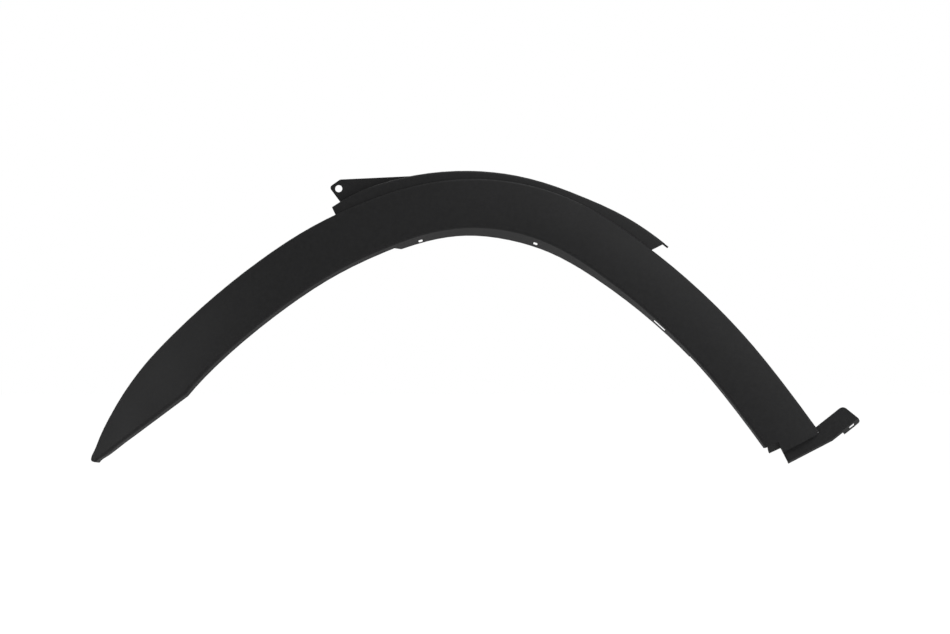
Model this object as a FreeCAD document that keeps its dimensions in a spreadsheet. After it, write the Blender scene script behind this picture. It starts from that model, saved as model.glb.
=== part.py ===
import FreeCAD, Part
import math
import os
import Sketcher

# Frame: the ear's hole is the origin, on the ear's front face.
# X runs to the car's rear, Y runs into the car body, Z is up.

# Driving dimensions, in millimetres and degrees
SIZES = {
    # The face's outer edge in side view: arcs that run on from each other, out from under the ear hole
    "ear_hole_height": 28.6,
    "ear_heading": 23.75,
    "shoulder_radius": 563.0,
    "front_shoulder_length": 99.4,
    "front_flank_radius": 1020.0,
    "front_flank_length": 202.2,
    "tip_radius": 380.0,
    "tip_length": 166.8,
    "rear_shoulder_length": 76.4,
    "crown_radius": 310.0,
    "crown_length": 262.6,
    "rear_flank_radius": 836.0,
    "rear_flank_length": 281.0,
    "rear_end_radius": 2200.0,
    "rear_end_length": 102.1,
    # Sweep of the front part round the car's corner, in plan
    "plan_onset": 8.5,
    "plan_radius": 760.0,
    # Band: a channel with a crowned face and two lips
    "face_width_front": 63.9,
    "face_width_crown": 60.6,
    "face_width_rear": 66.9,
    "kink_flare": 2.2,
    "kink_flare_start": 240.0,
    "kink_flare_length": 90.0,
    "face_setback": 5.0,
    "face_crown": 2.5,
    "edge_radius": 3.0,
    "lip_radius": 4.0,
    "channel_depth": 12.0,
    "wall": 2.5,
    "outer_draft": 3.0,
    "lip_lean_front": 20.0,
    "lip_lean_crown": 22.0,
    "lip_lean_rear": 8.0,
    # Pointed front end, cut straight below
    "tip_width": 8.0,
    "tip_cut_angle": 36.3,
    "nose_length": 2.8,
    "tip_solid_length": 24.0,
    # Recessed strip above the crown, with its return flange
    "strip_front_run": 16.6,
    "strip_front_shoulder_run": 45.0,
    "strip_rear_shoulder_run": 280.0,
    "strip_flare_run": 393.0,
    "strip_rear_run": 409.6,
    "strip_step": 4.0,
    "strip_fall": 1.5,
    "strip_width_front": 10.6,
    "strip_width_front_shoulder": 15.6,
    "strip_width_rear_shoulder": 8.5,
    "strip_width_rear": 16.6,
    "strip_end_skew": 26.0,
    "strip_edge_radius": 3.2,
    "strip_flange_overrun": 6.0,
    # Ear
    "ear_setback": 19.5,
    "ear_thickness": 2.5,
    "ear_hole_diameter": 9.0,
    "ear_nose_reach": 12.0,
    "ear_nose_rise": 1.9,
    "ear_shoulder_reach": 1.7,
    "ear_shoulder_rise": 11.5,
    "ear_corner_radius": 4.0,
    "ear_front_run": 4.6,
    "ear_rear_run": 98.0,
    # Deeper return flange on the wheel side
    "flange_start_run": 39.5,
    "flange_ramp": 8.0,
    "flange_taper_run": 250.0,
    "flange_end_run": 540.0,
    "flange_front_depth": 22.0,
    "flange_depth": 27.5,
    "flange_end_depth": 15.0,
    "flange_thickness": 2.2,
    "flange_hole_width": 5.4,
    "flange_hole_height": 2.4,
    "flange_hole_offset": 6.1,
    "flange_hole_front_run": 77.6,
    "flange_hole_rear_run": 265.6,
    "flange_slot_run": 480.6,
    "flange_slot_length": 18.5,
    "flange_slot_width": 1.4,
    "flange_slot_offset": 2.3,
    # Rear end: cut, notch and tab
    "end_skew": 8.1,
    "end_corner_radius": 6.0,
    "notch_length": 15.0,
    "notch_wall_shift": 9.6,
    "notch_wall_fan": 0.8,
    "notch_inset": 52.7,
    "tab_setback": 8.5,
    "tab_thickness": 2.5,
    "tab_bar_drop": 14.0,
    "tab_knee": 9.6,
    "tab_arm_angle": 11.0,
    "tab_arm_length": 42.4,
    "tab_arm_width": 24.1,
    "tab_end_lean": 13.0,
    "tab_lower_radius": 4.0,
    "tab_upper_radius": 7.0,
    "tab_lip_depth": 5.0,
    "tab_lip_lean": 30.0,
    "tab_lug_start": 17.0,
    "tab_lug_depth": 12.0,
    "tab_hole_width": 8.0,
    "tab_hole_height": 2.4,
    "tab_hole_run": 30.5,
    "tab_hole_drop": 3.4,
    # Clip seats on the back of the face
    "seat_front_run": 270.0,
    "seat_rear_run": 640.0,
    "seat_count": 8,
    "seat_length": 20.0,
    "seat_width": 16.0,
    "seat_height": 8.0,
    "seat_wall": 2.0,
    "seat_slot_width": 6.4,
    "seat_slot_length": 13.0,
    "seat_bed": 1.2,
}

doc = FreeCAD.newDocument("arch_moulding")
sheet = doc.addObject("Spreadsheet::Sheet", "sizes")
for row, (alias, value) in enumerate(SIZES.items(), start=1):
    sheet.set(f"A{row}", alias)
    sheet.set(f"B{row}", str(value))
    sheet.setAlias(f"B{row}", alias)
doc.recompute()

UP = FreeCAD.Vector(0, 0, 1)
INTO_CAR = FreeCAD.Vector(0, 1, 0)
# How far a tool or a root reaches past the face it has to cross
OVERLAP = 1.0
# Cross-sections of each loft, and how much closer they stand towards its ends
TIP_STATIONS = 8
ARCH_STATIONS = 19
STRIP_STATIONS = 12
FLANGE_STATIONS = 11
END_EASE = 0.6
# Places of the sections in the rounded nose, as shares of its length
NOSE_SHARES = (0.97, 0.82, 0.5)
# Largest share of a narrow section's width that an edge round takes
ROUND_SHARE = 0.3
# Share of half a slot's width that its end rounds take
SLOT_ROUND = 0.99
# The tip's last section stands this little before the kink, which is found by halving
KINK_STEP = 1e-6
KINK_SEARCH_STEPS = 50
# Share of a wall's thickness that keeps two joined pieces from sharing a face
WALL_INSET = 0.1
# A cut right through reaches this many times the depth of what it crosses
THROUGH = 4.0


class Size:
    """A length with the sheet formula that it came from."""

    def __init__(self, value, formula):
        self.value = value
        self.formula = formula

    def __float__(self):
        return self.value

    def joined(self, other, sign, value):
        other_formula = other.formula if isinstance(other, Size) else repr(float(other))
        return Size(value, f"({self.formula} {sign} {other_formula})")

    def __add__(self, other):
        return self.joined(other, "+", self.value + float(other))

    def __sub__(self, other):
        return self.joined(other, "-", self.value - float(other))

    def __mul__(self, other):
        return self.joined(other, "*", self.value * float(other))

    def __neg__(self):
        return Size(-self.value, f"(-1 * {self.formula})")


def size(alias):
    return Size(float(sheet.get(alias)), f"sizes.{alias}")


def plain(value):
    return Size(float(value), repr(float(value)))


def number(alias):
    return float(sheet.get(alias))


def angle(alias):
    return math.radians(number(alias))


def blend(first, second, share):
    """The size that lies a share of the way from the first size to the second."""
    return size(first) * (1.0 - share) + size(second) * share


# Layout of the arch
FRONT_ARCS = (
    (number("shoulder_radius"), number("front_shoulder_length")),
    (number("front_flank_radius"), number("front_flank_length")),
    (number("tip_radius"), number("tip_length")),
)
REAR_ARCS = (
    (number("shoulder_radius"), number("rear_shoulder_length")),
    (number("crown_radius"), number("crown_length")),
    (number("rear_flank_radius"), number("rear_flank_length")),
    (number("rear_end_radius"), number("rear_end_length")),
)
TIP_RUN = -sum(length for radius, length in FRONT_ARCS)
END_RUN = sum(length for radius, length in REAR_ARCS)
CROWN_RUN = number("rear_shoulder_length") + number("crown_length") / 3.0


def outer_edge(run):
    """Point and heading of the outer edge, at a run along it from the ear (rearward is positive)."""
    heading = angle("ear_heading")
    x = math.sin(heading) * number("ear_hole_height")
    z = -math.cos(heading) * number("ear_hole_height")
    arcs = REAR_ARCS if run >= 0 else FRONT_ARCS
    sense = -1.0 if run >= 0 else 1.0
    left = abs(run)
    for radius, length in arcs:
        piece = left if (radius, length) == arcs[-1] else min(left, length)
        turned = heading + sense * piece / radius
        x += radius * (math.sin(heading) - math.sin(turned))
        z += radius * (math.cos(turned) - math.cos(heading))
        heading = turned
        left -= piece
    return x, z, heading


def plan_depth(x):
    """How far the car's corner has swept back at x."""
    return max(0.0, -number("plan_onset") - x) ** 2 / (2.0 * number("plan_radius"))


def face_width(run):
    """Face width in side view, from the outer edge to the wheel-side edge."""
    if run <= 0:
        share = max(0.0, -run - number("kink_flare_start")) / number("kink_flare_length")
        return size("face_width_front") + size("kink_flare") * share ** 2
    if run <= CROWN_RUN:
        return blend("face_width_front", "face_width_crown", run / CROWN_RUN)
    return blend("face_width_crown", "face_width_rear", (run - CROWN_RUN) / (END_RUN - CROWN_RUN))


def lip_lean(run):
    """Lean of the wheel-side lip from the Y axis, in radians."""
    if run <= 0:
        return angle("lip_lean_front")
    if run <= CROWN_RUN:
        return math.radians(float(blend("lip_lean_front", "lip_lean_crown", run / CROWN_RUN)))
    taper_start = number("flange_taper_run")
    share = max(0.0, run - taper_start) / (END_RUN - taper_start)
    return math.radians(float(blend("lip_lean_crown", "lip_lean_rear", share)))


def tip_cut_width(run):
    """Width from the outer edge to the straight cut below the front end."""
    tip_x, tip_z, tip_heading = outer_edge(TIP_RUN)
    cut_x = tip_x + number("tip_width") * math.sin(tip_heading)
    cut_z = tip_z - number("tip_width") * math.cos(tip_heading)
    normal_x = math.sin(angle("tip_cut_angle"))
    normal_z = -math.cos(angle("tip_cut_angle"))
    x, z, heading = outer_edge(run)
    gap = (cut_x - x) * normal_x + (cut_z - z) * normal_z
    return gap / (math.sin(heading) * normal_x - math.cos(heading) * normal_z)


def find_kink():
    """Run at which the straight cut meets the full-width band."""
    low, high = TIP_RUN, 0.0
    for step in range(KINK_SEARCH_STEPS):
        middle = 0.5 * (low + high)
        if tip_cut_width(middle) < float(face_width(middle)):
            low = middle
        else:
            high = middle
    return high


KINK_RUN = find_kink()


class Station:
    """A cross-section of the band: its place, its axes and its sizes there."""

    def __init__(self, run, skew=0.0, inset=0.0):
        x, z, heading = outer_edge(run)
        heading += skew
        in_tip = run < KINK_RUN
        width = plain(tip_cut_width(max(run, TIP_RUN)) - 2.0 * inset) if in_tip else face_width(run)
        x += inset * math.sin(heading)
        z -= inset * math.cos(heading)
        sweep = plan_depth(x) - plan_depth(x + float(width) * math.sin(heading))
        self.tilt = math.atan2(sweep, float(width))
        self.run = run
        self.point = FreeCAD.Vector(x, plan_depth(x) - number("ear_setback") + inset, z)
        self.inward = FreeCAD.Vector(math.sin(heading), 0, -math.cos(heading))
        self.along = FreeCAD.Vector(math.cos(heading), 0, math.sin(heading))
        self.across = self.inward * math.cos(self.tilt) - INTO_CAR * math.sin(self.tilt)
        self.back = INTO_CAR * math.cos(self.tilt) + self.inward * math.sin(self.tilt)
        self.width = width * (1.0 / math.cos(self.tilt))
        full = float(width) / float(face_width(KINK_RUN)) if in_tip else 1.0
        self.setback = size("face_setback") * full
        self.crown = size("face_crown") * full ** 2
        narrow = ROUND_SHARE * float(self.width)
        self.radius = size("edge_radius") * min(1.0, narrow / number("edge_radius"))
        self.lip_radius = size("lip_radius") * min(1.0, narrow / number("lip_radius"))
        self.lip_slope = plain(math.tan(lip_lean(run) - self.tilt))
        self.outer_slope = plain(math.tan(angle("outer_draft") - self.tilt))

    def placement(self):
        return FreeCAD.Placement(self.point, FreeCAD.Rotation(self.across, self.back, self.along, "ZXY"))

    def at(self, across, back):
        """Point in space of a section point."""
        return self.point + self.across * across + self.back * back


def between(first, last, count):
    """Evenly spaced runs from the first to the last."""
    return [first + (last - first) * step / (count - 1) for step in range(count)]


def graded(first, last, count):
    """Runs from the first to the last that stand closer together towards both ends."""
    shares = between(0.0, 1.0, count)
    turn = 2.0 * math.pi
    return [first + (last - first) * (share - END_EASE * math.sin(turn * share) / turn) for share in shares]


# Sketches
ROOT = -1
START = 1
FINISH = 2


class Drawing:
    """A sketch of a body, with constraints that follow the sheet."""

    def __init__(self, body, name, placement):
        self.sketch = body.newObject("Sketcher::SketchObject", name)
        self.sketch.Placement = placement

    def line(self, start, finish):
        segment = Part.LineSegment(FreeCAD.Vector(*start, 0), FreeCAD.Vector(*finish, 0))
        return self.sketch.addGeometry(segment)

    def arc(self, centre, radius, from_point, to_point):
        begin = math.atan2(from_point[1] - centre[1], from_point[0] - centre[0])
        end = math.atan2(to_point[1] - centre[1], to_point[0] - centre[0])
        circle = Part.Circle(FreeCAD.Vector(*centre, 0), UP, radius)
        if end <= begin:
            end += 2.0 * math.pi
        return self.sketch.addGeometry(Part.ArcOfCircle(circle, begin, end))

    def rule(self, kind, *references):
        return self.sketch.addConstraint(Sketcher.Constraint(kind, *references))

    def drive(self, kind, *references):
        """A dimension whose last reference is a Size."""
        length = references[-1]
        index = self.rule(kind, *references[:-1], float(length))
        self.sketch.setExpression(f"Constraints[{index}]", length.formula)

    def pin(self, geometry, end, across, back):
        """Hold a point at its distances from the sketch's origin."""
        self.drive("DistanceX", ROOT, START, geometry, end, across)
        self.drive("DistanceY", ROOT, START, geometry, end, back)

    def corner(self, across, back):
        place = FreeCAD.Vector(float(across), float(back), 0)
        index = self.sketch.addGeometry(Part.Point(place), True)
        self.pin(index, START, across, back)
        return index


def outline(body, name, placement, corners):
    """A closed outline; each corner is (across, up) or, where it is rounded, (across, up, radius)."""
    drawing = Drawing(body, name, placement)
    places = [(float(corner[0]), float(corner[1])) for corner in corners]
    count = len(places)
    starts, finishes, rounds = list(places), list(places), {}
    for index, corner in enumerate(corners):
        if len(corner) == 3:
            here = FreeCAD.Vector(*places[index], 0)
            before = (FreeCAD.Vector(*places[index - 1], 0) - here).normalize()
            after = (FreeCAD.Vector(*places[(index + 1) % count], 0) - here).normalize()
            half = 0.5 * before.getAngle(after)
            reach = float(corner[2]) / math.tan(half)
            centre = here + (before + after).normalize() * (float(corner[2]) / math.sin(half))
            finishes[index] = tuple(here + before * reach)[:2]
            starts[index] = tuple(here + after * reach)[:2]
            rounds[index] = tuple(centre)[:2]
    lines = [drawing.line(starts[i], finishes[(i + 1) % count]) for i in range(count)]
    for index, corner in enumerate(corners):
        point = drawing.corner(corner[0], corner[1])
        incoming, outgoing = lines[index - 1], lines[index]
        if index not in rounds:
            drawing.rule("Coincident", incoming, FINISH, point, START)
            drawing.rule("Coincident", outgoing, START, point, START)
            continue
        drawing.rule("PointOnObject", point, START, incoming)
        drawing.rule("PointOnObject", point, START, outgoing)
        first, last = finishes[index], starts[index]
        centre = rounds[index]
        turn = (first[0] - centre[0]) * (last[1] - centre[1]) - (first[1] - centre[1]) * (last[0] - centre[0])
        if turn > 0:
            arc = drawing.arc(centre, float(corner[2]), first, last)
            ends = (START, FINISH)
        else:
            arc = drawing.arc(centre, float(corner[2]), last, first)
            ends = (FINISH, START)
        drawing.rule("Tangent", incoming, FINISH, arc, ends[0])
        drawing.rule("Tangent", arc, ends[1], outgoing, START)
        drawing.drive("Radius", arc, corner[2])
    return drawing.sketch


def circle_through(first, middle, last):
    """Centre and radius of the circle through three points."""
    curve = Part.Circle(*(FreeCAD.Vector(*point, 0) for point in (first, middle, last)))
    return (curve.Center.x, curve.Center.y), curve.Radius


def edge_round(corner, slope, crown_centre, crown_radius, radius, side):
    """Round between a lip and the crowned face: its centre and where it meets the lip and the face."""
    along = FreeCAD.Vector(slope, 1, 0).normalize()
    normal = FreeCAD.Vector(along.y, -along.x, 0) * side
    base = FreeCAD.Vector(*corner, 0) + normal * radius - FreeCAD.Vector(*crown_centre, 0)
    half = base.dot(along)
    options = [-half + way * math.sqrt(half ** 2 - base.dot(base) + (crown_radius - radius) ** 2)
               for way in (-1.0, 1.0)]
    reach = min(options, key=abs)
    centre = base + along * reach
    on_lip = centre - normal * radius
    on_face = centre * (crown_radius / centre.Length)
    origin = FreeCAD.Vector(*crown_centre, 0)
    return [tuple(point + origin)[:2] for point in (centre, on_lip, on_face)]


def band_section(body, name, station):
    """Outer form of the band: lips, rounded edges and the crowned face, closed across the back."""
    drawing = Drawing(body, name, station.placement())
    width, setback, depth = station.width, station.setback, size("channel_depth")
    middle = (width * 0.5, setback * 0.5 - station.crown)
    outer_back = (station.outer_slope * (float(depth) - float(setback)), depth)
    inner_back = (width + station.lip_slope * float(depth), depth)
    outer_corner, inner_corner = (0.0, float(setback)), (float(width), 0.0)
    crown_centre, crown_radius = circle_through(outer_corner, tuple(map(float, middle)), inner_corner)
    radius, lip_radius = float(station.radius), float(station.lip_radius)
    outer_slope, lip_slope = float(station.outer_slope), float(station.lip_slope)
    outer_round = edge_round(outer_corner, outer_slope, crown_centre, crown_radius, radius, 1.0)
    inner_round = edge_round(inner_corner, lip_slope, crown_centre, crown_radius, lip_radius, -1.0)
    outer_lip = drawing.line(tuple(map(float, outer_back)), outer_round[1])
    outer_edge_arc = drawing.arc(outer_round[0], radius, outer_round[1], outer_round[2])
    face = drawing.arc(crown_centre, crown_radius, outer_round[2], inner_round[2])
    inner_edge_arc = drawing.arc(inner_round[0], lip_radius, inner_round[2], inner_round[1])
    inner_lip = drawing.line(inner_round[1], tuple(map(float, inner_back)))
    back = drawing.line(tuple(map(float, inner_back)), tuple(map(float, outer_back)))
    chain = (outer_lip, outer_edge_arc, face, inner_edge_arc, inner_lip)
    for first, second in zip(chain, chain[1:]):
        drawing.rule("Tangent", first, FINISH, second, START)
    drawing.rule("Coincident", inner_lip, FINISH, back, START)
    drawing.rule("Coincident", back, FINISH, outer_lip, START)
    outer_point = drawing.corner(plain(0.0), setback)
    inner_point = drawing.corner(width, plain(0.0))
    middle_point = drawing.corner(*middle)
    for point, curve in ((outer_point, outer_lip), (outer_point, face), (inner_point, inner_lip),
                         (inner_point, face), (middle_point, face)):
        drawing.rule("PointOnObject", point, START, curve)
    drawing.pin(outer_lip, START, *outer_back)
    drawing.pin(inner_lip, FINISH, *inner_back)
    drawing.drive("Radius", outer_edge_arc, station.radius)
    drawing.drive("Radius", inner_edge_arc, station.lip_radius)
    return drawing.sketch


def cavity_section(body, name, station, width):
    """Hollow of the band, one wall inside its outer form and open at the back."""
    drawing = Drawing(body, name, station.placement())
    wall = size("wall")
    setback, depth = station.setback, size("channel_depth") + OVERLAP
    outer = (wall, setback + wall)
    inner = (width - wall, wall)
    middle = (width * 0.5, setback * 0.5 - station.crown + wall)
    outer_back = (wall + station.outer_slope * (float(depth) - float(setback)), depth)
    inner_back = (width - wall + station.lip_slope * float(depth), depth)
    places = [tuple(map(float, point)) for point in (outer_back, outer, middle, inner, inner_back)]
    centre, radius = circle_through(*places[1:4])
    outer_lip = drawing.line(places[0], places[1])
    face = drawing.arc(centre, radius, places[1], places[3])
    inner_lip = drawing.line(places[3], places[4])
    back = drawing.line(places[4], places[0])
    chain = (outer_lip, face, inner_lip, back, outer_lip)
    for first, second in zip(chain, chain[1:]):
        drawing.rule("Coincident", first, FINISH, second, START)
    drawing.rule("PointOnObject", drawing.corner(*middle), START, face)
    drawing.pin(outer_lip, START, *outer_back)
    drawing.pin(face, START, *outer)
    drawing.pin(face, FINISH, *inner)
    drawing.pin(inner_lip, FINISH, *inner_back)
    return drawing.sketch


def loft(body, kind, name, sections, ruled=False):
    feature = body.newObject(f"PartDesign::{kind}", name)
    feature.Profile = sections[0]
    feature.Sections = sections[1:]
    feature.Ruled = ruled
    feature.Refine = False
    doc.recompute()
    return feature


def band(body):
    """Tip and arch of the band, lofted and then hollowed from the back."""
    nose, half_tip = number("nose_length"), number("tip_width") / 2.0
    tip_stations = [Station(TIP_RUN - nose * share, inset=half_tip * (1.0 - math.sqrt(1.0 - share ** 2)))
                    for share in NOSE_SHARES]
    tip_stations += [Station(run) for run in graded(TIP_RUN, KINK_RUN - KINK_STEP, TIP_STATIONS)]
    sections = [band_section(body, f"tip_section_{i}", s) for i, s in enumerate(tip_stations)]
    loft(body, "AdditiveLoft", "tip_form", sections)
    arch_stations = [Station(run) for run in graded(KINK_RUN, END_RUN, ARCH_STATIONS)[:-1]]
    arch_stations.append(Station(END_RUN, skew=-angle("end_skew")))
    sections = [band_section(body, f"arch_section_{i}", s) for i, s in enumerate(arch_stations)]
    loft(body, "AdditiveLoft", "arch_form", sections)

    hollow_start = TIP_RUN + number("tip_solid_length")
    tip_hollow = [Station(run) for run in graded(hollow_start, KINK_RUN - KINK_STEP, TIP_STATIONS)]
    sections = [cavity_section(body, f"tip_hollow_{i}", s, s.width) for i, s in enumerate(tip_hollow)]
    loft(body, "SubtractiveLoft", "tip_hollow", sections)
    rib_run = END_RUN - number("notch_length") - number("wall")
    arch_hollow = [Station(run) for run in graded(KINK_RUN, rib_run, ARCH_STATIONS)]
    sections = [cavity_section(body, f"arch_hollow_{i}", s, s.width) for i, s in enumerate(arch_hollow)]
    loft(body, "SubtractiveLoft", "arch_hollow", sections)
    end_hollow = (
        Station(END_RUN - number("notch_length"), skew=-angle("end_skew")),
        Station(END_RUN - number("wall"), skew=-angle("end_skew")),
    )
    width = size("notch_inset")
    sections = [cavity_section(body, f"end_hollow_{i}", s, width) for i, s in enumerate(end_hollow)]
    loft(body, "SubtractiveLoft", "end_hollow", sections)


def strip_width(run):
    """Width of the recessed strip, outward from the ridge."""
    front, front_shoulder = -number("strip_front_run"), number("strip_front_shoulder_run")
    rear_shoulder, flare = number("strip_rear_shoulder_run"), number("strip_flare_run")
    if run < front_shoulder:
        share = (run - front) / (front_shoulder - front)
        return blend("strip_width_front", "strip_width_front_shoulder", share * (2.0 - share))
    if run < rear_shoulder:
        share = (run - front_shoulder) / (rear_shoulder - front_shoulder)
        return blend("strip_width_front_shoulder", "strip_width_rear_shoulder", share * (2.0 - share))
    share = min(1.0, (run - rear_shoulder) / (flare - rear_shoulder))
    return blend("strip_width_rear_shoulder", "strip_width_rear", share * share * (3.0 - 2.0 * share))


def strip_section(body, name, station, stretch=1.0):
    """Angle section: the strip's plate, rooted in the outer lip, and its return flange."""
    width = strip_width(station.run) * stretch
    wall, root = size("wall"), size("wall") * 0.5
    front = station.setback + size("strip_step")
    outer_front = front + size("strip_fall")
    back = size("ear_setback") + size("ear_thickness")
    corners = (
        (root, front),
        (-width, outer_front, size("strip_edge_radius")),
        (-width, back),
        (wall - width, back),
        (wall - width, outer_front + wall),
        (root, front + wall),
    )
    return outline(body, name, station.placement(), corners)


def strip_finger_section(body, name, station):
    """End of the return flange that runs on past the strip's plate."""
    width = strip_width(station.run)
    inset = size("wall") * WALL_INSET
    front = station.setback + size("strip_step") + size("strip_fall") + size("strip_edge_radius")
    back = size("ear_setback") + size("ear_thickness") - inset
    outer, inner = inset - width, size("wall") - inset - width
    corners = ((outer, front), (outer, back), (inner, back), (inner, front))
    return outline(body, name, station.placement(), corners)


def strip(body):
    """Recessed strip above the crown; its rear end is cut on the skew, and its flange runs on."""
    front, rear = -number("strip_front_run"), number("strip_rear_run")
    skew = angle("strip_end_skew")
    sections = [strip_section(body, f"strip_section_{i}", Station(run))
                for i, run in enumerate(graded(front, rear, STRIP_STATIONS)[:-1])]
    end = strip_section(body, "strip_section_end", Station(rear, skew=-skew), 1.0 / math.cos(skew))
    loft(body, "AdditiveLoft", "strip_form", sections + [end])
    tip_run = rear + float(strip_width(rear)) * math.tan(skew)
    runs = (rear, tip_run + number("strip_flange_overrun"))
    sections = [strip_finger_section(body, f"strip_finger_{i}", Station(run)) for i, run in enumerate(runs)]
    loft(body, "AdditiveLoft", "strip_finger", sections)


def flange_depth(run):
    """Depth of the wheel-side flange behind the face: it grows to the crown and tapers to the rear."""
    start, taper, end = number("flange_start_run"), number("flange_taper_run"), number("flange_end_run")
    if run < taper:
        return blend("flange_front_depth", "flange_depth", (run - start) / (taper - start))
    return blend("flange_depth", "flange_end_depth", (run - taper) / (end - taper))


def flange_section(body, name, station, depth):
    """Blade that carries the lip on into the wheel housing, rooted inside the lip's wall."""
    inset = (size("wall") - size("flange_thickness")) * 0.5
    root = size("channel_depth") * 0.5
    wheel_side = station.width - inset
    inner_side = wheel_side - size("flange_thickness")
    slope = station.lip_slope
    corners = (
        (wheel_side + slope * float(root), root),
        (wheel_side + slope * float(depth), depth),
        (inner_side + slope * float(depth), depth),
        (inner_side + slope * float(root), root),
    )
    return outline(body, name, station.placement(), corners)


def flange(body):
    """Wheel-side return flange: a short ramp, full depth over the crown and a long taper to the rear."""
    start, ramp_end = number("flange_start_run"), number("flange_start_run") + number("flange_ramp")
    low = flange_section(body, "flange_ramp_foot", Station(start), size("channel_depth") + OVERLAP)
    sections = [flange_section(body, f"flange_section_{i}", Station(run), flange_depth(run))
                for i, run in enumerate(graded(ramp_end, number("flange_end_run"), FLANGE_STATIONS))]
    loft(body, "AdditiveLoft", "flange_ramp", [low, sections[0]], ruled=True)
    loft(body, "AdditiveLoft", "flange_form", sections)


def pad(body, sketch, name, length):
    feature = body.newObject("PartDesign::Pad", name)
    feature.Profile = sketch
    feature.Refine = False
    feature.setExpression("Length", length.formula)
    doc.recompute()
    return feature


def pocket(body, sketch, name, length):
    """Cut that reaches its length to both sides of the sketch."""
    feature = body.newObject("PartDesign::Pocket", name)
    feature.Profile = sketch
    feature.SideType = "Symmetric"
    feature.Refine = False
    feature.setExpression("Length", length.formula)
    doc.recompute()
    return feature


def strip_flange_point(run):
    """Place of the strip's return flange in side view, at the middle of its wall."""
    station = Station(run)
    spot = station.at(number("wall") * 0.5 - float(strip_width(run)), 0.0)
    return plain(spot.x), plain(-spot.z)


def ear(body):
    """Flat ear with the fixing hole, standing on the strip's return flange."""
    front, rear = -number("ear_front_run"), number("ear_rear_run")
    radius = size("ear_corner_radius")
    corners = (
        strip_flange_point(front),
        (-size("ear_nose_reach"), -size("ear_nose_rise"), radius),
        (size("ear_shoulder_reach"), -size("ear_shoulder_rise"), radius),
        strip_flange_point(rear),
        strip_flange_point(0.5 * (front + rear)),
    )
    axes = FreeCAD.Rotation(FreeCAD.Vector(1, 0, 0), -UP, INTO_CAR, "ZXY")
    sketch = outline(body, "ear_outline", FreeCAD.Placement(FreeCAD.Vector(), axes), corners)
    hole = sketch.addGeometry(Part.Circle(FreeCAD.Vector(), UP, number("ear_hole_diameter") / 2.0))
    sketch.addConstraint(Sketcher.Constraint("Coincident", hole, 3, ROOT, START))
    index = sketch.addConstraint(Sketcher.Constraint("Diameter", hole, number("ear_hole_diameter")))
    sketch.setExpression(f"Constraints[{index}]", size("ear_hole_diameter").formula)
    pad(body, sketch, "ear", size("ear_thickness"))


def end_placement(depth):
    """Side-view plane at the rear end: outward across the band, then on along the arch."""
    station = Station(END_RUN, skew=-angle("end_skew"))
    axes = FreeCAD.Rotation(-station.inward, station.along, INTO_CAR, "ZXY")
    return FreeCAD.Placement(station.point + INTO_CAR * depth, axes)


def end_corner(body):
    """Round of the face's outer corner at the rear end."""
    radius, none = size("end_corner_radius"), plain(0.0)
    reach = radius * 2.0
    before = -reach * math.cos(angle("end_skew"))
    corners = (
        (-reach * math.sin(angle("end_skew")), before),
        (none, none, radius),
        (-reach, none),
        (-reach, reach),
        (reach, reach),
        (reach, before),
    )
    sketch = outline(body, "end_corner_outline", end_placement(0.0), corners)
    pocket(body, sketch, "end_corner", size("flange_depth") * THROUGH)


class Arm:
    """The tab's arm: points along its lower edge, and off that edge."""

    def __init__(self):
        turn = angle("tab_arm_angle")
        self.way = (math.cos(turn), -math.sin(turn))
        self.off = (math.sin(turn), math.cos(turn))

    def at(self, length, drop):
        across = number("tab_knee") + self.way[0] * length + self.off[0] * drop
        along = number("tab_bar_drop") + self.way[1] * length + self.off[1] * drop
        return plain(across), plain(along)


def tab(body):
    """Recessed tab under the rear end: a bar across the end, an arm past the outer edge, and its lips."""
    arm = Arm()
    root = size("wall") * 0.5
    drop, width, length = size("tab_bar_drop"), number("tab_arm_width"), number("tab_arm_length")
    top_length = length - width * math.tan(angle("tab_end_lean"))
    corners = (
        (-size("notch_inset"), -root),
        (-size("notch_inset"), drop),
        (size("tab_knee"), drop),
        arm.at(length, 0.0),
        arm.at(top_length, -width) + (size("tab_upper_radius"),),
        arm.at(-number("tab_knee"), -width),
        (-root, -root),
    )
    sketch = outline(body, "tab_outline", end_placement(number("tab_setback")), corners)
    pad(body, sketch, "tab_plate", size("tab_thickness"))

    def lip(name, path, depth):
        """Leaning wall below a stretch of the tab's lower edge."""
        shift = depth * math.tan(angle("tab_lip_lean"))
        levels = ((0.0, 0.0), (depth, shift))
        sections = []
        for level, (back, lower) in enumerate(levels):
            outer = [point(lower) for point in path]
            inner = [point(lower - number("tab_thickness")) for point in reversed(path)]
            placement = end_placement(number("tab_setback") + back)
            sections.append(outline(body, f"{name}_{level}", placement, outer + inner))
        loft(body, "AdditiveLoft", name, sections, ruled=True)

    lug_start, lug_end = number("tab_lug_start"), length
    bar_path = (
        lambda lower: (-size("notch_inset"), drop + lower),
        lambda lower: (size("tab_knee") + lower * math.tan(0.5 * angle("tab_arm_angle")), drop + lower),
        lambda lower: arm.at(lug_start, lower),
    )
    lug_path = (
        lambda lower: arm.at(lug_start, lower),
        lambda lower: arm.at(lug_end, lower),
    )
    lip("tab_lip", bar_path, number("tab_lip_depth"))
    lip("tab_lug", lug_path, number("tab_lug_depth"))
    tab_corner(body, arm)


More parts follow.
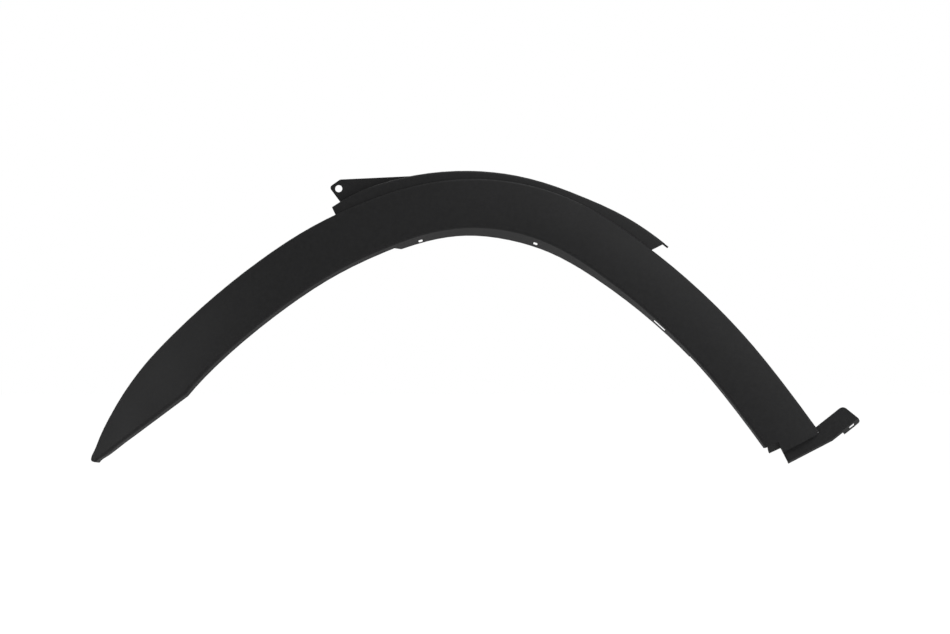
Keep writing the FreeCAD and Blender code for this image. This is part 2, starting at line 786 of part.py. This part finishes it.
def tab_corner(body, arm):
    """Round of the arm's lower corner, through the plate and the lug below it."""
    length, reach = number("tab_arm_length"), number("tab_lower_radius") * 2.0
    lower = number("tab_lug_depth") * math.tan(angle("tab_lip_lean")) - number("tab_thickness") * WALL_INSET
    lean = math.tan(angle("tab_end_lean"))
    corners = (
        arm.at(length - reach, lower),
        arm.at(length + lower * lean, lower) + (size("tab_lower_radius"),),
        arm.at(length - reach * lean, -reach),
        arm.at(length + reach, -reach),
        arm.at(length + reach, lower + reach),
        arm.at(length - reach, lower + reach),
    )
    sketch = outline(body, "tab_corner_outline", end_placement(number("tab_setback")), corners)
    pocket(body, sketch, "tab_corner", size("flange_depth") * THROUGH)


def notch(body):
    """Cut at the inner corner of the rear end, between the last rib and the tab's bar."""
    inner = size("face_width_rear") + size("channel_depth")
    corners = (
        (-size("notch_inset"), -size("notch_length")),
        (-inner, -size("notch_length")),
        (-inner, size("notch_length")),
        (-size("notch_inset"), size("notch_length")),
    )
    sketch = outline(body, "notch_outline", end_placement(0.0), corners)
    pocket(body, sketch, "notch", size("flange_depth") * THROUGH)


def notch_wall(body):
    """Wall that leans out of the notch, from the face's cut edge back to the lips' rim."""
    wall, root = size("wall"), size("wall") * WALL_INSET * 2.0
    edge = -size("notch_length") - root
    outer, rim = wall * 0.5 - size("notch_inset"), wall * WALL_INSET - size("face_width_rear")
    shift, fan = size("notch_wall_shift"), size("notch_wall_fan")
    levels = ((wall * 0.5, edge, edge), (size("channel_depth") - root, edge + shift + fan, edge + shift))
    sections = []
    for level, (depth, outer_end, inner_end) in enumerate(levels):
        inner = rim - depth * math.tan(angle("lip_lean_rear"))
        corners = (
            (outer, outer_end),
            (outer, outer_end - wall),
            (inner, inner_end - wall),
            (inner, inner_end),
        )
        sections.append(outline(body, f"notch_wall_{level}", end_placement(float(depth)), corners))
    loft(body, "AdditiveLoft", "notch_wall", sections, ruled=True)


def long_hole(body, name, placement, length, height):
    """Round-ended hole along the draw direction."""
    half, rim = length * 0.5, height * 0.5
    radius = rim * SLOT_ROUND
    corners = ((-half, -rim, radius), (half, -rim, radius), (half, rim, radius), (-half, rim, radius))
    sketch = outline(body, f"{name}_outline", placement, corners)
    pocket(body, sketch, name, size("flange_depth") * THROUGH)


def draw_holes(body):
    """Holes of the flange and of the tab's lug, all drawn along Y."""
    spots = (
        ("flange_hole_front", "flange_hole_front_run", "flange_hole_offset",
         "flange_hole_width", "flange_hole_height"),
        ("flange_hole_rear", "flange_hole_rear_run", "flange_hole_offset",
         "flange_hole_width", "flange_hole_height"),
        ("flange_slot", "flange_slot_run", "flange_slot_offset",
         "flange_slot_length", "flange_slot_width"),
    )
    for name, run, offset, length, height in spots:
        station = Station(number(run))
        spot = station.at(float(station.width) + number(offset), number("flange_depth"))
        axes = FreeCAD.Rotation(station.along, station.inward, -INTO_CAR, "ZXY")
        long_hole(body, name, FreeCAD.Placement(spot, axes), size(length), size(height))
    across, along = Arm().at(number("tab_hole_run"), number("tab_hole_drop"))
    plane = end_placement(number("tab_setback"))
    spot = plane.multVec(FreeCAD.Vector(float(across), float(along), 0))
    turn = FreeCAD.Rotation(UP, -number("tab_arm_angle"))
    placement = FreeCAD.Placement(spot, plane.Rotation.multiply(turn))
    long_hole(body, "tab_hole", placement, size("tab_hole_width"), size("tab_hole_height"))


def clip_seat():
    """Raised seat for a push-in clip: a box open at one end, with a slot in its top for the clip's neck."""
    seat = doc.addObject("PartDesign::Body", "clip_seat")
    length, width, wall = size("seat_length"), size("seat_width"), size("seat_wall")
    bed, height = size("seat_bed"), size("seat_height")
    half, inside, neck = width * 0.5, width * 0.5 - wall, size("seat_slot_width") * 0.5
    base = FreeCAD.Placement(UP * -float(bed), FreeCAD.Rotation())
    box = ((plain(0.0), -half), (length, -half), (length, half), (plain(0.0), half))
    pad(seat, outline(seat, "seat_box", base, box), "seat_block", height + bed)
    reach = plain(-OVERLAP)
    hollow = ((reach, -inside), (length - wall, -inside), (length - wall, inside), (reach, inside))
    sketch = outline(seat, "seat_hollow_outline", base, hollow)
    pocket(seat, sketch, "seat_hollow", (height + bed - wall) * 2.0)
    slot_end, round_end = size("seat_slot_length"), neck * SLOT_ROUND
    slot = ((reach, -neck), (slot_end, -neck, round_end), (slot_end, neck, round_end), (reach, neck))
    sketch = outline(seat, "seat_slot_outline", base, slot)
    pocket(seat, sketch, "seat_slot", (height + bed) * THROUGH)
    return seat


def seat_placement(run):
    """Place of a clip seat on the back of the face, square to the swept surface."""
    station = Station(run)
    x = station.point.x
    sweep = plan_depth(x + 0.5) - plan_depth(x - 0.5)
    along = (station.along + INTO_CAR * sweep * station.along.x).normalize()
    middle = float(station.width) * 0.5
    level = float(station.setback) * 0.5 - float(station.crown) + number("wall")
    spot = station.at(middle, level) - along * (number("seat_length") * 0.5)
    axes = FreeCAD.Rotation(along, station.across, along.cross(station.across), "XZY")
    return FreeCAD.Placement(spot, axes)


def clip_seats(seat):
    """Copies of the clip seat, evenly spaced along the band."""
    runs = between(-number("seat_front_run"), number("seat_rear_run"), int(number("seat_count")))
    links = []
    for index, run in enumerate(runs, start=1):
        link = doc.addObject("App::Link", f"clip_seat_{index}")
        link.LinkedObject = seat
        link.LinkPlacement = seat_placement(run)
        links.append(link)
    return links


shell = doc.addObject("PartDesign::Body", "shell")
band(shell)
end_corner(shell)
strip(shell)
flange(shell)
ear(shell)
tab(shell)
notch(shell)
notch_wall(shell)
draw_holes(shell)

moulding = doc.addObject("Part::MultiFuse", "moulding")
moulding.Label = "arch_moulding"
moulding.Shapes = [shell] + clip_seats(clip_seat())
doc.recompute()

failed = [item.Name for item in doc.Objects if "Invalid" in item.State or "Error" in item.State]
if failed:
    raise RuntimeError(f"failed to recompute: {failed}")
if moulding.Shape.isNull() or not moulding.Shape.isValid() or len(moulding.Shape.Solids) != 1:
    raise RuntimeError("the moulding is not one valid solid")
print(round(moulding.Shape.Volume / 1000.0, 1), "cm3", moulding.Shape.BoundBox)
os.makedirs("parts", exist_ok=True)
moulding.Shape.exportStep(f"parts/{moulding.Label}.step")
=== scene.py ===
import math

import bpy
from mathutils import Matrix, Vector


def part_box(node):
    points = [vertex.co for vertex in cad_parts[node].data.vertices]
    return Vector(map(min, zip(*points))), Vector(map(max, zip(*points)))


# Metres, in the part's own frame: +X to the car's rear, +Y into the car body, +Z up
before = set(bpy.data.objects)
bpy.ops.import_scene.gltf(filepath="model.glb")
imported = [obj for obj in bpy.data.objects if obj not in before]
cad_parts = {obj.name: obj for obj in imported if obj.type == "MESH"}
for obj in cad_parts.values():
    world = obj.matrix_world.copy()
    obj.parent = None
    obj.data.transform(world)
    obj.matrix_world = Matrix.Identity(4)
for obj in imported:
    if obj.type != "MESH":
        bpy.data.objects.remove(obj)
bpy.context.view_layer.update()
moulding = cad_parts["arch_moulding"]
lowest_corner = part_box("arch_moulding")[0]

scene = bpy.context.scene
scene.view_settings.view_transform = "Standard"

# The camera stands square in front of the arch, level with the middle of the picture
CAMERA_PLACE = (0.1715, -3.0195, -0.1615)
CAMERA_TILT = math.radians(90.0)
SENSOR_WIDTH = 36.0
FRAME_WIDTH = 1.1875
FRAME_DISTANCE = 3.0

camera_data = bpy.data.cameras.new("camera")
camera_data.sensor_width = SENSOR_WIDTH
camera_data.lens = SENSOR_WIDTH * FRAME_DISTANCE / FRAME_WIDTH
camera = bpy.data.objects.new("camera", camera_data)
camera.location = CAMERA_PLACE
camera.rotation_euler = (CAMERA_TILT, 0.0, 0.0)
scene.collection.objects.link(camera)
scene.camera = camera

WHITE = (1.0, 1.0, 1.0, 1.0)
# Most of a noise texture's values lie between these two
NOISE_LOW = 0.3
NOISE_HIGH = 0.7


class Nodes:
    """A node tree that is built by naming a node's type, its settings and its inputs."""

    def __init__(self, tree):
        self.tree = tree
        tree.nodes.clear()

    def add(self, kind, inputs=None, **settings):
        node = self.tree.nodes.new(kind)
        for name, value in settings.items():
            setattr(node, name, value)
        for name, value in (inputs or {}).items():
            if isinstance(value, bpy.types.NodeSocket):
                self.tree.links.new(value, node.inputs[name])
            else:
                node.inputs[name].default_value = value
        return node


def noise(nodes, place, scale, detail, roughness):
    inputs = {"Vector": place, "Scale": scale, "Detail": detail, "Roughness": roughness}
    return nodes.add("ShaderNodeTexNoise", inputs).outputs["Fac"]


def spread(nodes, value, low, high):
    """A noise value carried over to the range from low to high."""
    inputs = {"Value": value, "From Min": NOISE_LOW, "From Max": NOISE_HIGH, "To Min": low, "To Max": high}
    return nodes.add("ShaderNodeMapRange", inputs).outputs["Result"]


def total(nodes, one, other):
    return nodes.add("ShaderNodeMath", {0: one, 1: other}, operation="ADD").outputs["Value"]


def either(nodes, one, other):
    """1 where one of two ray tests says yes, otherwise 0."""
    return nodes.add("ShaderNodeMath", {0: one, 1: other}, operation="MAXIMUM").outputs["Value"]


def seen(nodes):
    """1 for a ray that shows the surroundings, straight to the camera or in gloss or glass, otherwise 0."""
    path = nodes.add("ShaderNodeLightPath").outputs
    mirrored = either(nodes, path["Is Glossy Ray"], path["Is Transmission Ray"])
    return either(nodes, path["Is Camera Ray"], mirrored)


def choice(nodes, test, no, yes):
    """One of two levels, by a ray test."""
    return nodes.add("ShaderNodeMapRange", {"Value": test, "To Min": no, "To Max": yes}).outputs["Result"]


# Matte black plastic, moulded in colour, with a fine spark-eroded grain
PLASTIC_DARK = (0.0058, 0.0058, 0.0060, 1.0)
PLASTIC_LIGHT = (0.0082, 0.0082, 0.0084, 1.0)
PLASTIC_IOR = 1.18
GRAIN_SCALE = 1400.0
GRAIN_DETAIL = 2.0
GRAIN_ROUGHNESS = 0.6
GRAIN_DEPTH = 0.00008
GRAIN_STRENGTH = 0.3
PIT_SHARE = 0.7
# Mottling of the colour and the gloss over a few millimetres
MOTTLE_SCALE = 220.0
MOTTLE_DETAIL = 4.0
MOTTLE_ROUGHNESS = 0.6
MOTTLE_GLOSS = 0.03
# Slow change of the gloss along the flow in the mould
FLOW_SCALE = 14.0
FLOW_DETAIL = 3.0
FLOW_ROUGHNESS = 0.5
FLOW_GLOSS_LOW = 0.57
FLOW_GLOSS_HIGH = 0.63


def black_plastic():
    material = bpy.data.materials.new("black_plastic")
    material.use_nodes = True
    nodes = Nodes(material.node_tree)
    place = nodes.add("ShaderNodeTexCoord").outputs["Object"]
    flow = noise(nodes, place, FLOW_SCALE, FLOW_DETAIL, FLOW_ROUGHNESS)
    mottle = noise(nodes, place, MOTTLE_SCALE, MOTTLE_DETAIL, MOTTLE_ROUGHNESS)
    grain = noise(nodes, place, GRAIN_SCALE, GRAIN_DETAIL, GRAIN_ROUGHNESS)
    pit_inputs = {"Vector": place, "Scale": GRAIN_SCALE * PIT_SHARE}
    pits = nodes.add("ShaderNodeTexVoronoi", pit_inputs).outputs["Distance"]
    bump_inputs = {
        "Strength": GRAIN_STRENGTH,
        "Distance": GRAIN_DEPTH,
        "Height": total(nodes, grain, pits),
    }
    bump = nodes.add("ShaderNodeBump", bump_inputs)
    tone = spread(nodes, mottle, 0.0, 1.0)
    colour_inputs = {"Factor": tone, "A": PLASTIC_DARK, "B": PLASTIC_LIGHT}
    colour = nodes.add("ShaderNodeMix", colour_inputs, data_type="RGBA")
    flow_gloss = spread(nodes, flow, FLOW_GLOSS_LOW, FLOW_GLOSS_HIGH)
    mottle_gloss = spread(nodes, mottle, -MOTTLE_GLOSS, MOTTLE_GLOSS)
    shader_inputs = {
        "Base Color": colour.outputs["Result"],
        "Roughness": total(nodes, flow_gloss, mottle_gloss),
        "IOR": PLASTIC_IOR,
        "Normal": bump.outputs["Normal"],
    }
    shader = nodes.add("ShaderNodeBsdfPrincipled", shader_inputs)
    nodes.add("ShaderNodeOutputMaterial", {"Surface": shader.outputs["BSDF"]})
    return material


moulding.data.materials.clear()
moulding.data.materials.append(black_plastic())

# World: its light is dimmer on the camera's side, and it is plain white where it is seen or mirrored
WORLD_FRONT = 0.24
WORLD_WHITE = 1.0
WORLD_TURN_FRONT = -0.9
WORLD_TURN_BACK = 0.1


def white_world():
    world = bpy.data.worlds.new("studio")
    world.use_nodes = True
    nodes = Nodes(world.node_tree)
    way = nodes.add("ShaderNodeTexCoord").outputs["Generated"]
    turn_inputs = {
        "Value": nodes.add("ShaderNodeSeparateXYZ", {"Vector": way}).outputs["Y"],
        "From Min": WORLD_TURN_FRONT,
        "From Max": WORLD_TURN_BACK,
        "To Min": WORLD_FRONT,
        "To Max": WORLD_WHITE,
    }
    turn = nodes.add("ShaderNodeMapRange", turn_inputs, interpolation_type="SMOOTHSTEP")
    strength = choice(nodes, seen(nodes), turn.outputs["Result"], WORLD_WHITE)
    light = nodes.add("ShaderNodeBackground", {"Color": WHITE, "Strength": strength})
    nodes.add("ShaderNodeOutputWorld", {"Surface": light.outputs["Background"]})
    return world


scene.world = white_world()

# Floor: white and wide, below the part as it hangs on the car
FLOOR_DROP = 0.30
FLOOR_HALF = 12.0
FLOOR_WHITE = 0.95
# Where the floor is seen, its white is part lit by the lamps and part its own
FLOOR_LIT_SHARE = 0.35
FLOOR_GLOW = 0.73


def floor_material():
    material = bpy.data.materials.new("pale_floor")
    material.use_nodes = True
    nodes = Nodes(material.node_tree)
    test = seen(nodes)
    shade = choice(nodes, test, FLOOR_WHITE, FLOOR_LIT_SHARE)
    glow = choice(nodes, test, 0.0, FLOOR_GLOW)
    matte = nodes.add("ShaderNodeBsdfDiffuse", {"Color": shade})
    white = nodes.add("ShaderNodeEmission", {"Color": WHITE, "Strength": glow})
    both = nodes.add("ShaderNodeAddShader", {0: matte.outputs["BSDF"], 1: white.outputs["Emission"]})
    nodes.add("ShaderNodeOutputMaterial", {"Surface": both.outputs["Shader"]})
    return material


def pale_floor():
    level = lowest_corner[2] - FLOOR_DROP
    sides = [(-1, -1), (1, -1), (1, 1), (-1, 1)]
    corners = [(x * FLOOR_HALF, y * FLOOR_HALF, level) for x, y in sides]
    mesh = bpy.data.meshes.new("floor")
    mesh.from_pydata(corners, [], [(0, 1, 2, 3)])
    mesh.materials.append(floor_material())
    floor = bpy.data.objects.new("floor", mesh)
    scene.collection.objects.link(floor)


pale_floor()


def soft_lamp(name, place, target, size, watts):
    """Rectangular lamp that faces a spot on the part and isn't seen itself."""
    data = bpy.data.lights.new(name, "AREA")
    data.shape = "RECTANGLE"
    data.size, data.size_y = size
    data.energy = watts
    lamp = bpy.data.objects.new(name, data)
    lamp.location = place
    lamp.rotation_euler = (Vector(target) - Vector(place)).to_track_quat("-Z", "Y").to_euler()
    lamp.visible_camera = False
    scene.collection.objects.link(lamp)


# Spots on the part that the lamps face
POINT = (-0.30, 0.0, -0.30)
FRONT_FLANK = (-0.12, 0.0, -0.15)
CROWN = (0.20, -0.02, 0.0)
MIDDLE = (0.17, 0.0, -0.16)
SHOULDER = (0.40, -0.02, -0.08)
REAR_FLANK = (0.55, -0.02, -0.22)

# In front: a key light at the upper right, a panel by the point, and boxes above and to the right
soft_lamp("key", place=(0.62, -0.70, 0.30), target=SHOULDER, size=(0.35, 0.35), watts=4.9)
soft_lamp("point_panel", place=(-0.75, -0.45, -0.25), target=POINT, size=(0.25, 0.40), watts=3.8)
soft_lamp("top_box", place=(0.25, -0.20, 1.15), target=CROWN, size=(0.90, 0.30), watts=8.0)
soft_lamp("right_box", place=(1.10, -0.45, 0.15), target=REAR_FLANK, size=(0.30, 0.60), watts=5.6)
# Behind: two lamps for the outer edge, and a wide fill for the back
soft_lamp("top_rim", place=(0.30, 0.60, 1.10), target=CROWN, size=(1.00, 0.30), watts=8.0)
soft_lamp("left_rim", place=(-0.95, 0.60, 0.45), target=FRONT_FLANK, size=(0.30, 0.80), watts=5.0)
soft_lamp("back_fill", place=(0.45, 2.00, 0.55), target=MIDDLE, size=(0.90, 0.90), watts=24.0)
